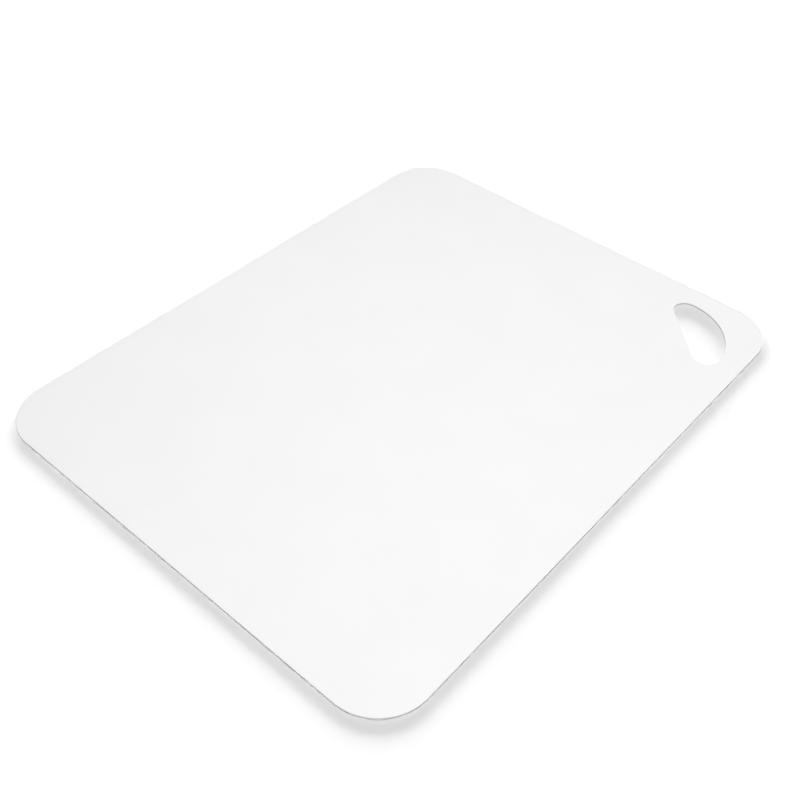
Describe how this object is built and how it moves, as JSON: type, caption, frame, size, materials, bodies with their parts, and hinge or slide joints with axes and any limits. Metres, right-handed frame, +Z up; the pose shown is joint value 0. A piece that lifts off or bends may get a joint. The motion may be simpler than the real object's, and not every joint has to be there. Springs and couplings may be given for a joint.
{
  "type": "flexible cutting mat",
  "caption": "Thin flexible cutting mat: a white rectangular plastic sheet with rounded corners and a D-shaped hand and hanging hole across one corner.",
  "frame": {"origin": "centre of the underside, on the surface that the mat lies on", "axes": "+Z up, out of the cutting face; +X along the long side; the hand hole is in the corner at +X, -Y"},
  "size_m": [0.38, 0.3, 0.0015],
  "materials": {
    "mat_plastic": "matte white, fine even grain on both faces, slightly translucent"
  },
  "bodies": {
    "root": {"cutting_mat": "mat_plastic"}
  },
  "joints": []
}
